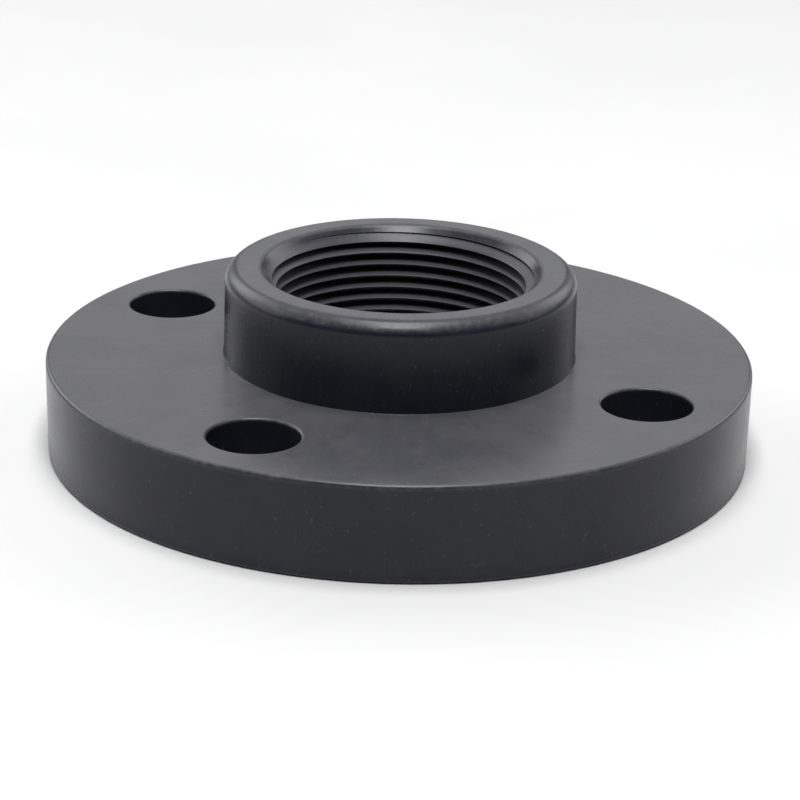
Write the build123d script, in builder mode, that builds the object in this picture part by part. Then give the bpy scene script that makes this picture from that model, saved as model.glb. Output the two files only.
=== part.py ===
# Threaded pipe flange, moulded in one piece.
# The mating face lies on the ground plane, the origin is the centre of the bore on that
# face, and +Z runs up the bore to the mouth of the threaded hub.
import os
from math import atan, degrees, isclose, radians, tan

from build123d import *

# Disc, to the 1 1/2 inch class 150 pattern
flange_diameter = 127.0
flange_thickness = 17.46
flange_draft = 0.6
disc_top_edge = 0.7
disc_face_edge = 0.5

# Bolt holes, placed by the distance of their centres from the disc's outside
bolt_count = 4
bolt_hole_diameter = 15.88
bolt_edge_distance = 14.285
bolt_hole_edge = 0.4

# Hub
overall_height = 33.7
hub_top_diameter = 62.9
hub_draft = 0.8
hub_rim_radius = 2.8

# Taper pipe thread: 11.5 threads an inch, 1 in 16 on the diameter, right hand
thread_pitch = 25.4 / 11.5
thread_angle = 60.0
thread_height = 0.8 * thread_pitch
thread_taper = 1 / 16
mouth_pitch_diameter = 46.77
thread_length = 25.4
thread_land = 0.3
mouth_chamfer_diameter = 50.8

# Waterway below the thread
waterway_diameter = 40.9
waterway_edge = 0.6

# Concentric gasket grooves in the mating face, between the waterway and the bolt holes
gasket_groove_count = 5
gasket_groove_depth = 0.5
gasket_inner_margin = 7.5
gasket_outer_margin = 3.3

# Disc and bolt circle worked out
flange_radius = flange_diameter / 2
face_radius = flange_radius - flange_thickness * tan(radians(flange_draft))
bolt_circle_radius = flange_radius - bolt_edge_distance
bolt_hole_radius = bolt_hole_diameter / 2

# Thread and bore worked out
taper_slope = thread_taper / 2
flank_slope = tan(radians(thread_angle / 2))
mouth_crest_radius = (mouth_pitch_diameter - thread_height) / 2
mouth_radius = mouth_chamfer_diameter / 2
waterway_radius = waterway_diameter / 2
thread_end_height = overall_height - thread_length
thread_end_radius = mouth_crest_radius - thread_length * taper_slope
shoulder_height = thread_end_height - (thread_end_radius - waterway_radius)

# The groove tool reaches a tenth of the thread's height into the open bore, so that it cuts cleanly
tool_overlap = 0.1 * thread_height
tool_half_width = (thread_height + tool_overlap) * flank_slope

# The hub is made too tall and then faced back, so that the thread runs out through the mouth
facing_allowance = 3 * tool_half_width
blank_height = overall_height + facing_allowance
blank_crest_radius = mouth_crest_radius + facing_allowance * taper_slope
hub_slope = tan(radians(hub_draft))
hub_top_radius = hub_top_diameter / 2
hub_base_radius = hub_top_radius + (overall_height - flange_thickness) * hub_slope
blank_hub_radius = hub_top_radius - facing_allowance * hub_slope


def ring_edges(part, radius, height=None):
    """Round edges of one radius, at one height where that is given."""
    edges = part.edges().filter_by(GeomType.CIRCLE)
    edges = edges.filter_by(lambda edge: isclose(edge.radius, radius, abs_tol=0.01))
    if height is None:
        return edges
    return edges.filter_by(lambda edge: isclose(edge.center().Z, height, abs_tol=0.01))


# Helical tool with the section of one thread groove, a V that points away from the bore
tool_start_height = thread_end_height + thread_land + tool_half_width
tool_end_height = overall_height + 1.5 * tool_half_width
tool_start_radius = mouth_crest_radius - (overall_height - tool_start_height) * taper_slope
with BuildPart() as thread_tool:
    with BuildLine() as thread_path:
        Helix(
            thread_pitch,
            tool_end_height - tool_start_height,
            tool_start_radius,
            center=(0, 0, tool_start_height),
            cone_angle=degrees(atan(taper_slope)),
        )
    with BuildSketch(Plane.XZ):
        with BuildLine():
            Polyline(
                (tool_start_radius - tool_overlap, tool_start_height - tool_half_width),
                (tool_start_radius + thread_height, tool_start_height),
                (tool_start_radius - tool_overlap, tool_start_height + tool_half_width),
                close=True,
            )
        make_face()
    sweep(path=thread_path.wire(), is_frenet=True)

with BuildPart() as flange:
    # Section of the disc, the tall hub and the bore, turned about the bore
    with BuildSketch(Plane.XZ):
        with BuildLine():
            Polyline(
                (waterway_radius, 0),
                (face_radius, 0),
                (flange_radius, flange_thickness),
                (hub_base_radius, flange_thickness),
                (blank_hub_radius, blank_height),
                (blank_crest_radius, blank_height),
                (thread_end_radius, thread_end_height),
                (waterway_radius, shoulder_height),
                close=True,
            )
        make_face()
    revolve(axis=Axis.Z)

    # Thread, then the hub faced to its height and its mouth chamfered in one cut
    add(thread_tool.part, mode=Mode.SUBTRACT)
    with BuildSketch(Plane.XZ):
        with BuildLine():
            Polyline(
                (waterway_radius, overall_height - (mouth_radius - waterway_radius)),
                (mouth_radius, overall_height),
                (hub_base_radius, overall_height),
                (hub_base_radius, blank_height + thread_pitch),
                (waterway_radius, blank_height + thread_pitch),
                close=True,
            )
        make_face()
    revolve(axis=Axis.Z, mode=Mode.SUBTRACT)

    # Soft moulded rim and broken corners
    fillet(ring_edges(flange, hub_top_radius, overall_height), hub_rim_radius)
    chamfer(ring_edges(flange, flange_radius, flange_thickness), disc_top_edge)
    chamfer(ring_edges(flange, face_radius, 0), disc_face_edge)
    chamfer(ring_edges(flange, waterway_radius, 0), waterway_edge)

    # Bolt holes, midway between the X and Y axes
    with Locations((0, 0, flange_thickness)):
        with PolarLocations(bolt_circle_radius, bolt_count, start_angle=180 / bolt_count):
            Hole(bolt_hole_radius)
    chamfer(ring_edges(flange, bolt_hole_radius), bolt_hole_edge)

    # Gasket grooves, each one the upper half of a square stood on its corner
    first_groove_radius = waterway_radius + gasket_inner_margin
    last_groove_radius = bolt_circle_radius - bolt_hole_radius - gasket_outer_margin
    groove_spacing = (last_groove_radius - first_groove_radius) / (gasket_groove_count - 1)
    with BuildSketch(Plane.XZ):
        with Locations(((first_groove_radius + last_groove_radius) / 2, 0)):
            with GridLocations(groove_spacing, 0, gasket_groove_count, 1):
                RegularPolygon(gasket_groove_depth, 4)
    revolve(axis=Axis.Z, mode=Mode.SUBTRACT)

flange.part.label = "flange"
os.makedirs("parts", exist_ok=True)
export_step(flange.part, "parts/flange.step")
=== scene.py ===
import math

import bpy
from mathutils import Matrix, Vector


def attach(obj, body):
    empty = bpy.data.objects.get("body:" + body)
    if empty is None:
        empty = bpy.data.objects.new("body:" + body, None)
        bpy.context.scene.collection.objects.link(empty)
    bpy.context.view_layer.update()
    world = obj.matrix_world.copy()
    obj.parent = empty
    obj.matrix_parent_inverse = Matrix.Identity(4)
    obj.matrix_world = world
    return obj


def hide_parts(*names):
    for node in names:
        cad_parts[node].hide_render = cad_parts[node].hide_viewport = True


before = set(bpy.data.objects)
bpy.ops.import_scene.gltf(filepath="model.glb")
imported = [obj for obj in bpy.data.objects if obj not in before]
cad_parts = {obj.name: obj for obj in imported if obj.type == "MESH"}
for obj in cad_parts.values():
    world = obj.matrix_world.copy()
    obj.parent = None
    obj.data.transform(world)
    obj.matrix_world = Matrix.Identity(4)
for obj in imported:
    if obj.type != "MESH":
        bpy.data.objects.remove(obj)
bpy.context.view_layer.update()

mm = 0.001


# Small helpers for modelling

def deselectAll():
    if bpy.context.mode != "OBJECT":
        bpy.ops.object.mode_set(mode="OBJECT")
    bpy.ops.object.select_all(action="DESELECT")


def activate(piece):
    deselectAll()
    piece.select_set(True)
    bpy.context.view_layer.objects.active = piece


def pick(piece, test):
    # selects the vertices that pass a test of their place, with the edges and faces between them
    activate(piece)
    bpy.ops.object.mode_set(mode="EDIT")
    bpy.ops.mesh.select_mode(type="VERT")
    bpy.ops.mesh.select_all(action="DESELECT")
    bpy.ops.object.mode_set(mode="OBJECT")
    for vertex in piece.data.vertices:
        vertex.select = test(vertex.co)
    bpy.ops.object.mode_set(mode="EDIT")


def applyModifier(piece, kind, settings):
    activate(piece)
    bpy.ops.object.modifier_add(type=kind)
    modifier = piece.modifiers[-1]
    for name, value in settings.items():
        setattr(modifier, name, value)
    bpy.ops.object.modifier_apply(modifier=modifier.name)


def cutWith(piece, cutter):
    applyModifier(piece, "BOOLEAN", {"operation": "DIFFERENCE", "solver": "EXACT", "object": cutter})
    activate(cutter)
    bpy.ops.object.delete()
    activate(piece)


def turnRings(name, rings, segments):
    # turns a section about Z: a circle is extruded and resized from ring to ring, in mm
    radius, height = rings[0]
    bpy.ops.mesh.primitive_circle_add(vertices=segments, radius=radius * mm, location=(0, 0, height * mm))
    piece = bpy.context.object
    piece.name = name
    bpy.ops.object.transform_apply(location=True, rotation=True, scale=True)
    bpy.ops.object.mode_set(mode="EDIT")
    for nextRadius, nextHeight in rings[1:]:
        rise = (nextHeight - height) * mm
        grow = nextRadius / radius
        bpy.ops.mesh.extrude_region_move(TRANSFORM_OT_translate={"value": (0, 0, rise)})
        bpy.ops.transform.resize(value=(grow, grow, 1), center_override=(0, 0, nextHeight * mm))
        radius, height = nextRadius, nextHeight
    bpy.ops.object.mode_set(mode="OBJECT")
    return piece


def closeShell(piece):
    activate(piece)
    bpy.ops.object.mode_set(mode="EDIT")
    bpy.ops.mesh.select_all(action="SELECT")
    bpy.ops.mesh.remove_doubles(threshold=0.002 * mm)
    bpy.ops.mesh.select_all(action="DESELECT")
    bpy.ops.mesh.select_non_manifold()
    bpy.ops.mesh.fill_holes(sides=0)
    bpy.ops.mesh.select_all(action="SELECT")
    bpy.ops.mesh.normals_make_consistent(inside=False)
    bpy.ops.object.mode_set(mode="OBJECT")


# Camera, at the photograph's angle

cameraPlace = {
    "distance": 0.520,         # from the point aimed at
    "elevation": 20.75,
    "azimuth": -15.91,         # 0 looks along +Y
    "roll": 1.37,              # the right side hangs a little
    "aimSideways": 0.00031,
    "aimHeight": 0.00812,
    "focalPixels": 2859.4,     # focal length in pixels of the picture
    "picturePixels": 800,
    "sensorWidth": 36.0,
}


def placeCamera():
    c = cameraPlace
    bpy.ops.object.camera_add()
    camera = bpy.context.object
    camera.name = "camera"
    tilt = math.radians(c["elevation"])
    roll = math.radians(c["roll"])
    look = Vector((0, math.cos(tilt), -math.sin(tilt)))
    right = Vector((1, 0, 0))
    top = right.cross(look)
    rolledRight = right * math.cos(roll) + top * math.sin(roll)
    rolledTop = top * math.cos(roll) - right * math.sin(roll)
    place = Vector((c["aimSideways"], 0, c["aimHeight"])) - look * c["distance"]
    turn = Matrix.Rotation(math.radians(c["azimuth"]), 4, "Z")
    basis = Matrix((rolledRight, rolledTop, -look)).transposed().to_4x4()
    camera.matrix_world = turn @ Matrix.Translation(place) @ basis
    camera.data.sensor_width = c["sensorWidth"]
    camera.data.lens = c["focalPixels"] / c["picturePixels"] * c["sensorWidth"]
    camera.data.clip_start = 0.01
    bpy.context.scene.camera = camera


placeCamera()
print("camera placed")


# Flange body: disc and hub turned as one shell, sizes in mm

flangeBody = {
    "segments": 240,
    "discRadius": 63.5,
    "discThickness": 17.46,
    "discDraft": 0.6,
    "hubTopRadius": 31.45,
    "hubDraft": 0.8,
    "height": 33.7,
    "mouthRadius": 25.4,
    "waterwayRadius": 20.45,
    "grooveCount": 5,            # gasket grooves in the underside
    "grooveDepth": 0.5,
    "grooveFirst": 27.95,
    "grooveLast": 37.975,
}

# Taper pipe thread, right hand
thread = {
    "pitch": 25.4 / 11.5,
    "slope": 1 / 32,             # of the radius, a foot of length to 3/8 inch
    "mouthCrestRadius": 22.5015,
    "length": 25.4,
    "land": 0.3,
    "height": 0.8 * 25.4 / 11.5,
    "overlap": 0.18,             # how far the cutter stands into the open bore
    "rootFlat": 0.16,
    "stepsPerTurn": 120,
}

# Soft moulded edges: radius and height of the corner, width and segments of its round
softEdges = {
    "discTop": (0.7, 5),
    "discFoot": (0.8, 4),
    "hubRoot": (0.25, 2),
    "hubRim": (2.8, 12),
    "mouthLip": (0.7, 5),
    "waterwayFoot": (0.6, 3),
}


def makeFlangeBody():
    b, t = flangeBody, thread
    footRadius = b["discRadius"] - b["discThickness"] * math.tan(math.radians(b["discDraft"]))
    hubBase = b["hubTopRadius"] + (b["height"] - b["discThickness"]) * math.tan(math.radians(b["hubDraft"]))
    chamferDrop = (b["mouthRadius"] - t["mouthCrestRadius"]) / (1 - t["slope"])
    threadEnd = b["height"] - t["length"]
    threadEndRadius = t["mouthCrestRadius"] - t["length"] * t["slope"]
    shoulder = threadEnd - (threadEndRadius - b["waterwayRadius"])
    rings = [(b["waterwayRadius"], 0)]
    spacing = (b["grooveLast"] - b["grooveFirst"]) / (b["grooveCount"] - 1)
    for index in range(b["grooveCount"]):
        middle = b["grooveFirst"] + index * spacing
        rings += [(middle - b["grooveDepth"], 0), (middle, b["grooveDepth"]), (middle + b["grooveDepth"], 0)]
    rings += [
        (footRadius, 0),
        (b["discRadius"], b["discThickness"]),
        (hubBase, b["discThickness"]),
        (b["hubTopRadius"], b["height"]),
        (b["mouthRadius"], b["height"]),
        (b["mouthRadius"] - chamferDrop, b["height"] - chamferDrop),
        (threadEndRadius, threadEnd),
        (b["waterwayRadius"], shoulder),
        (b["waterwayRadius"], 0),
    ]
    body = turnRings("flangeBody", rings, b["segments"])
    closeShell(body)
    corners = {
        "discTop": (b["discRadius"], b["discThickness"]),
        "discFoot": (footRadius, 0),
        "hubRoot": (hubBase, b["discThickness"]),
        "hubRim": (b["hubTopRadius"], b["height"]),
        "mouthLip": (b["mouthRadius"], b["height"]),
        "waterwayFoot": (b["waterwayRadius"], 0),
    }
    for name, (width, segments) in softEdges.items():
        radius, height = corners[name]
        pick(body, lambda place: abs(place.xy.length - radius * mm) < 0.02 * mm
             and abs(place.z - height * mm) < 0.02 * mm)
        bpy.ops.mesh.bevel(offset=width * mm, segments=segments, profile=0.5, affect="EDGES")
        bpy.ops.object.mode_set(mode="OBJECT")
    return body


def makeThreadCutter():
    b, t = flangeBody, thread
    flank = math.tan(math.radians(30))
    halfWidth = (t["height"] + t["overlap"]) * flank + t["rootFlat"] / 2
    axisRadius = t["mouthCrestRadius"] - b["height"] * t["slope"]       # crest radius carried down to z = 0
    start = b["height"] - t["length"] + t["land"] + halfWidth
    end = b["height"] + 1.5 * halfWidth
    turns = (end - start) / t["pitch"]
    depth = t["height"] + t["overlap"]
    bpy.ops.mesh.primitive_plane_add(size=1, rotation=(math.pi / 2, 0, 0))
    cutter = bpy.context.object
    cutter.name = "threadCutter"
    cutter.scale = (depth * mm, halfWidth * 2 * mm, 1)
    cutter.location = ((axisRadius - t["overlap"] + depth / 2) * mm, 0, start * mm)
    bpy.ops.object.transform_apply(location=True, rotation=True, scale=True)
    pick(cutter, lambda place: place.x > axisRadius * mm)
    bpy.ops.transform.resize(value=(1, 1, t["rootFlat"] / (halfWidth * 2)),
                             center_override=(0, 0, start * mm))
    bpy.ops.object.mode_set(mode="OBJECT")
    applyModifier(cutter, "SCREW", {
        "axis": "Z",
        "angle": 2 * math.pi * turns,
        "screw_offset": turns * t["pitch"] * mm,
        "steps": round(turns * t["stepsPerTurn"]),
        "render_steps": round(turns * t["stepsPerTurn"]),
        "use_smooth_shade": False,
    })
    closeShell(cutter)
    heights = [vertex.co.z for vertex in cutter.data.vertices]
    applyModifier(cutter, "SIMPLE_DEFORM", {
        "deform_method": "TAPER",
        "deform_axis": "Z",
        "factor": t["slope"] / (axisRadius * mm) * (max(heights) - min(heights)),
    })
    return cutter


# Bolt holes, midway between the X and Y axes

boltHoles = {
    "count": 4,
    "radius": 7.94,
    "circleRadius": 49.215,
    "edge": 0.5,                 # round at each end
    "segments": 96,
}


def makeHoleCutter():
    h = boltHoles
    arc = []
    for step in range(6):
        swing = math.radians(90 * step / 5)
        arc.append((h["radius"] + h["edge"] * (1 - math.sin(swing)), h["edge"] * (1 - math.cos(swing))))
    flare = (arc[0][0] + 2 * (arc[0][0] - arc[1][0]), 2 * (arc[0][1] - arc[1][1]))
    top = flangeBody["discThickness"]
    rings = [flare] + arc + [(radius, top - drop) for radius, drop in reversed(arc)] + [(flare[0], top - flare[1])]
    cutter = turnRings("holeCutter", rings, h["segments"])
    closeShell(cutter)
    activate(cutter)
    reach = h["circleRadius"] * mm / math.sqrt(2)
    bpy.ops.object.mode_set(mode="EDIT")
    bpy.ops.mesh.select_all(action="SELECT")
    bpy.ops.transform.translate(value=(reach, reach, 0))
    for copy in range(h["count"] - 1):
        bpy.ops.mesh.duplicate()
        bpy.ops.transform.rotate(value=2 * math.pi / h["count"], orient_axis="Z", center_override=(0, 0, 0))
    bpy.ops.object.mode_set(mode="OBJECT")
    return cutter


body = makeFlangeBody()
print("body turned", len(body.data.vertices))
threadCutter = makeThreadCutter()
print("thread cutter", len(threadCutter.data.vertices))
cutWith(body, threadCutter)
print("thread cut", len(body.data.vertices))
cutWith(body, makeHoleCutter())
print("bolt holes cut", len(body.data.vertices))
activate(body)
bpy.ops.object.shade_smooth_by_angle(angle=math.radians(32))
applyModifier(body, "WEIGHTED_NORMAL", {"mode": "FACE_AREA", "weight": 50, "keep_sharp": True})

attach(body, "root")
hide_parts("flange")


# Shader nodes

class Wire:
    # an output in a node tree: + - * / and ** on it add Math nodes

    def __init__(self, tree, socket=None):
        self.tree = tree
        self.socket = socket

    def node(self, kind, settings=None, sockets=None, output=0):
        # adds any node: its settings come first, then the values or links of its sockets
        made = self.tree.nodes.new(kind)
        for name, value in (settings or {}).items():
            if name == "stops":
                elements = made.color_ramp.elements
                while len(elements) < len(value):
                    elements.new(0.5)
                for element, (place, shade) in zip(elements, value):
                    element.position = place
                    element.color = (shade, shade, shade, 1)
            else:
                setattr(made, name, value)
        for name, value in (sockets or {}).items():
            if isinstance(value, Wire):
                self.tree.links.new(value.socket, made.inputs[name])
            else:
                made.inputs[name].default_value = value
        return Wire(self.tree, made.outputs[output])

    def other(self, output):
        return Wire(self.tree, self.socket.node.outputs[output])

    def maths(self, operation, *values):
        return self.node("ShaderNodeMath", {"operation": operation}, dict(enumerate(values)))

    def __add__(self, value):
        return self.maths("ADD", self, value)

    def __radd__(self, value):
        return self.maths("ADD", value, self)

    def __sub__(self, value):
        return self.maths("SUBTRACT", self, value)

    def __rsub__(self, value):
        return self.maths("SUBTRACT", value, self)

    def __mul__(self, value):
        return self.maths("MULTIPLY", self, value)

    def __rmul__(self, value):
        return self.maths("MULTIPLY", value, self)

    def __truediv__(self, value):
        return self.maths("DIVIDE", self, value)

    def __rtruediv__(self, value):
        return self.maths("DIVIDE", value, self)

    def __pow__(self, value):
        return self.maths("POWER", self, value)

    def __rpow__(self, value):
        return self.maths("POWER", value, self)

    def fade(self, start, end):
        # 0 at start and 1 at end, smooth between them
        return self.node("ShaderNodeMapRange", {"interpolation_type": "SMOOTHSTEP"},
                         {"Value": self, "From Min": start, "From Max": end})

    def bump(self, distance, strength, under=None):
        sockets = {"Height": self, "Distance": distance, "Strength": strength}
        if under is not None:
            sockets["Normal"] = under
        return self.node("ShaderNodeBump", None, sockets)

    def blend(self, first, second):
        # mixes two colours by this value
        return self.node("ShaderNodeMix", {"data_type": "RGBA"}, {0: self, 6: first, 7: second}, output=2)


def newMaterial(name):
    # gives the material, its shader and an empty wire in its node tree
    material = bpy.data.materials.new(name)
    material.use_nodes = True
    return material, material.node_tree.nodes["Principled BSDF"], Wire(material.node_tree)


def plug(shader, name, wire):
    wire.tree.links.new(wire.socket, shader.inputs[name])


# Moulded grey PVC: satin skin with soft mottling, flow marks and a fine grain; faces that look up painted lighter
# and walls darker as painted light and shade, and a painted highlight with rubbed wear along the edges

greyPvc = {
    "shadedWallGrey": (0.011, 0.012, 0.019, 1),        # painted shade: the darker grey of the upright walls
    "shadedWallPale": (0.016, 0.017, 0.025, 1),
    "litFaceGrey": (0.050, 0.051, 0.060, 1),        # painted light: the lighter grey of faces that look up
    "litFacePale": (0.070, 0.070, 0.078, 1),
    "highlightFleckScuffGrey": (0.115, 0.115, 0.122, 1),      # painted highlight along the edges, also the pale of flecks and scuffs
    "cutGrey": (0.080, 0.079, 0.090, 1),         # in the cut thread and on the faced underside
    "roughness": 0.27,
    "reflection": 1.37,          # index of refraction
    "mottleScale": 55.0,         # about 18 mm
    "grainScale": 1500.0,        # about 0.7 mm
    "grainDepth": 0.02 * mm,
    "waveScale": 70.0,
    "waveDepth": 0.06 * mm,      # slight sink and swell of the moulded faces
    "toolPitch": 0.45 * mm,      # turned marks on the faced underside
    "toolDepth": 0.012 * mm,
    "highlightAndRubWidth": 0.9 * mm,
}


def cornerRing(radial, height, radius, level, width):
    # 1 on a turned corner, fading to 0 a width away from it
    across = (radial - radius * mm) ** 2
    along = (height - level * mm) ** 2
    return ((across + along) ** 0.5).fade(width, 0.25 * width)


def makeGreyPvc():
    g, b, h = greyPvc, flangeBody, boltHoles
    material, shader, start = newMaterial("greyMouldedPvc")
    place = start.node("ShaderNodeTexCoord", output="Object")
    x = place.node("ShaderNodeSeparateXYZ", None, {"Vector": place})
    y, height = x.other("Y"), x.other("Z")
    radial = (x ** 2 + y ** 2) ** 0.5
    angle = y.maths("ARCTAN2", y, x)

    # mottling, flow marks that run out from the hub, and grain
    mottle = place.node("ShaderNodeTexNoise", None,
                        {"Vector": place, "Scale": g["mottleScale"], "Detail": 4.0, "Roughness": 0.55})
    cloud = place.node("ShaderNodeTexNoise", None,
                       {"Vector": place, "Scale": g["mottleScale"] * 0.35, "Detail": 2.0})
    flowPlace = place.node("ShaderNodeCombineXYZ", None,
                           {"X": angle * 9.0, "Y": radial * 60.0, "Z": height * 60.0})
    flow = place.node("ShaderNodeTexNoise", None,
                      {"Vector": flowPlace, "Scale": 1.0, "Detail": 5.0, "Roughness": 0.6, "Distortion": 0.4})
    grain = place.node("ShaderNodeTexNoise", None,
                       {"Vector": place, "Scale": g["grainScale"], "Detail": 3.0, "Roughness": 0.6})
    fleck = place.node("ShaderNodeTexNoise", None,
                       {"Vector": place, "Scale": g["grainScale"] * 0.7, "Detail": 2.0}).fade(0.66, 0.76)

    # painted highlight along the turned corners, which also stands for rubbed wear in roughness and bump, broken
    # up by noise
    foldX, foldY = x.maths("ABSOLUTE", x), y.maths("ABSOLUTE", y)
    reach = h["circleRadius"] * mm / math.sqrt(2)
    holeRadial = ((foldX - reach) ** 2 + (foldY - reach) ** 2) ** 0.5
    width = g["highlightAndRubWidth"]
    corners = [
        cornerRing(radial, height, b["discRadius"], b["discThickness"], width * 1.3),
        cornerRing(radial, height, b["discRadius"] - 0.18, 0, width),
        cornerRing(radial, height, b["hubTopRadius"] - 0.8, b["height"] - 0.8, width * 1.6),
        cornerRing(radial, height, b["mouthRadius"], b["height"], width),
        cornerRing(holeRadial, height, h["radius"], b["discThickness"], width * 0.8),
        cornerRing(holeRadial, height, h["radius"], 0, width * 0.8),
    ]
    edges = corners[0]
    for corner in corners[1:]:
        edges = edges.maths("MAXIMUM", edges, corner)
    breakUp = place.node("ShaderNodeTexNoise", None,
                         {"Vector": place, "Scale": 700.0, "Detail": 5.0, "Roughness": 0.65})
    edgeHighlightAndRub = edges * (0.35 + (breakUp * 0.8 + mottle * 0.2).fade(0.42, 0.66) * 0.65)

    # cut surfaces: the bore, and the underside with its turned marks
    inBore = radial.fade((thread["mouthCrestRadius"] + 1.9) * mm, (thread["mouthCrestRadius"] + 0.9) * mm)
    underside = height.fade(0.30 * mm, 0.05 * mm)
    cut = inBore.maths("MAXIMUM", inBore, underside)
    tool = radial.maths("SINE", radial * (2 * math.pi / g["toolPitch"])) * underside
    scuffPlace = place.node("ShaderNodeMapping", None,
                            {"Vector": place, "Rotation": (0, 0, 0.5), "Scale": (1.0, 0.06, 1.0)})
    scuff = place.node("ShaderNodeTexNoise", None,
                       {"Vector": scuffPlace, "Scale": 900.0, "Detail": 2.0}).fade(0.66, 0.74) * underside

    tone = (mottle * 0.45 + flow * 0.35 + cloud * 0.2).fade(0.36, 0.64)
    # painted light and shade: by the world normal, faces that look up get the lighter grey and upright walls the
    # darker one
    shadedWallColour = tone.blend(g["shadedWallGrey"], g["shadedWallPale"])
    litFaceColour = tone.blend(g["litFaceGrey"], g["litFacePale"])
    facing = place.node("ShaderNodeNewGeometry", output="Normal")
    litUpward = facing.node("ShaderNodeSeparateXYZ", None, {"Vector": facing}, "Z").fade(0.55, 0.95)
    colour = litUpward.blend(shadedWallColour, litFaceColour)
    colour = (cut * 0.6).blend(colour, g["cutGrey"])
    colour = (fleck * 0.25).blend(colour, g["highlightFleckScuffGrey"])
    # painted highlight: a paler grey along the edges; the scuffs on the underside are real wear
    colour = (edgeHighlightAndRub * 0.5 + scuff * 0.35).blend(colour, g["highlightFleckScuffGrey"])
    plug(shader, "Base Color", colour)

    roughness = g["roughness"] + (mottle - 0.5) * 0.10 + (flow - 0.5) * 0.12 + cut * 0.12 + edgeHighlightAndRub * 0.16
    plug(shader, "Roughness", roughness + fleck * 0.06)
    shader.inputs["IOR"].default_value = g["reflection"]

    wave = place.node("ShaderNodeTexNoise", None, {"Vector": place, "Scale": g["waveScale"], "Detail": 1.0})
    normal = wave.bump(g["waveDepth"], 1.0)
    normal = (tool * 0.5 + 0.5).bump(g["toolDepth"], 1.0, normal)
    normal = (grain - edgeHighlightAndRub * 0.5 - scuff * 0.5).bump(g["grainDepth"], 0.6, normal)
    plug(shader, "Normal", normal)
    return material


greyMouldedPvc = makeGreyPvc()
for piece in (body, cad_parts["flange"]):
    piece.data.materials.clear()
    piece.data.materials.append(greyMouldedPvc)
print("grey PVC made")


# Floor: a wide sheet of pale paper

floorPaper = {
    "size": 6.0,
    "paleWhite": (0.67, 0.67, 0.67, 1),
    "shadeWhite": (0.65, 0.65, 0.655, 1),
    "fibreScale": 700.0,
    "fibreDepth": 0.03 * mm,
}


def makeFloor():
    f = floorPaper
    deselectAll()
    bpy.ops.mesh.primitive_plane_add(size=f["size"], location=(0, 0, 0))
    floor = bpy.context.object
    floor.name = "floor"
    material, shader, start = newMaterial("palePaper")
    place = start.node("ShaderNodeTexCoord", output="Object")
    cloud = place.node("ShaderNodeTexNoise", None, {"Vector": place, "Scale": 9.0, "Detail": 3.0})
    fibre = place.node("ShaderNodeTexNoise", None,
                       {"Vector": place, "Scale": f["fibreScale"], "Detail": 4.0, "Roughness": 0.7})
    plug(shader, "Base Color", cloud.fade(0.35, 0.65).blend(f["paleWhite"], f["shadeWhite"]))
    plug(shader, "Roughness", 0.85 + (fibre - 0.5) * 0.1)
    plug(shader, "Normal", fibre.bump(f["fibreDepth"], 0.3))
    floor.data.materials.append(material)


makeFloor()
print("floor laid")


# Light: softboxes and a dim sky. Bearing is from behind the object towards the camera's right

softboxes = {
    # name: bearing, rise, distance, size, power
    "overhead": (0, 88, 1.0, 0.35, 5.3),
    "behindHigh": (0, 40, 1.2, 0.7, 0.9),
    "behindLow": (0, 22, 1.2, 0.6, 0.75),
    "leftBehind": (-45, 25, 1.2, 0.6, 3.9),
    "rightBehind": (45, 25, 1.2, 0.6, 3.0),
    "leftSide": (-80, 25, 1.1, 0.7, 2.6),
    "rightSide": (80, 25, 1.1, 0.7, 2.0),
    "front": (180, 68, 1.1, 0.35, 8.5),
}
skyStrength = 0.02


def placeLights():
    for name, (bearing, rise, distance, size, power) in softboxes.items():
        turn = Matrix.Rotation(math.radians(cameraPlace["azimuth"] - bearing), 4, "Z")
        tip = Matrix.Rotation(math.radians(rise - 90), 4, "X")
        bpy.ops.object.light_add(type="AREA")
        light = bpy.context.object
        light.name = name
        light.matrix_world = turn @ tip @ Matrix.Translation((0, 0, distance))
        light.data.shape = "SQUARE"
        light.data.size = size
        light.data.energy = power
    world = bpy.data.worlds.new("studio")
    bpy.context.scene.world = world
    world.use_nodes = True
    background = world.node_tree.nodes["Background"]
    background.inputs["Color"].default_value = (1, 1, 1, 1)
    background.inputs["Strength"].default_value = skyStrength


placeLights()
bpy.context.scene.view_settings.view_transform = "Standard"
print("lights placed", len(softboxes))
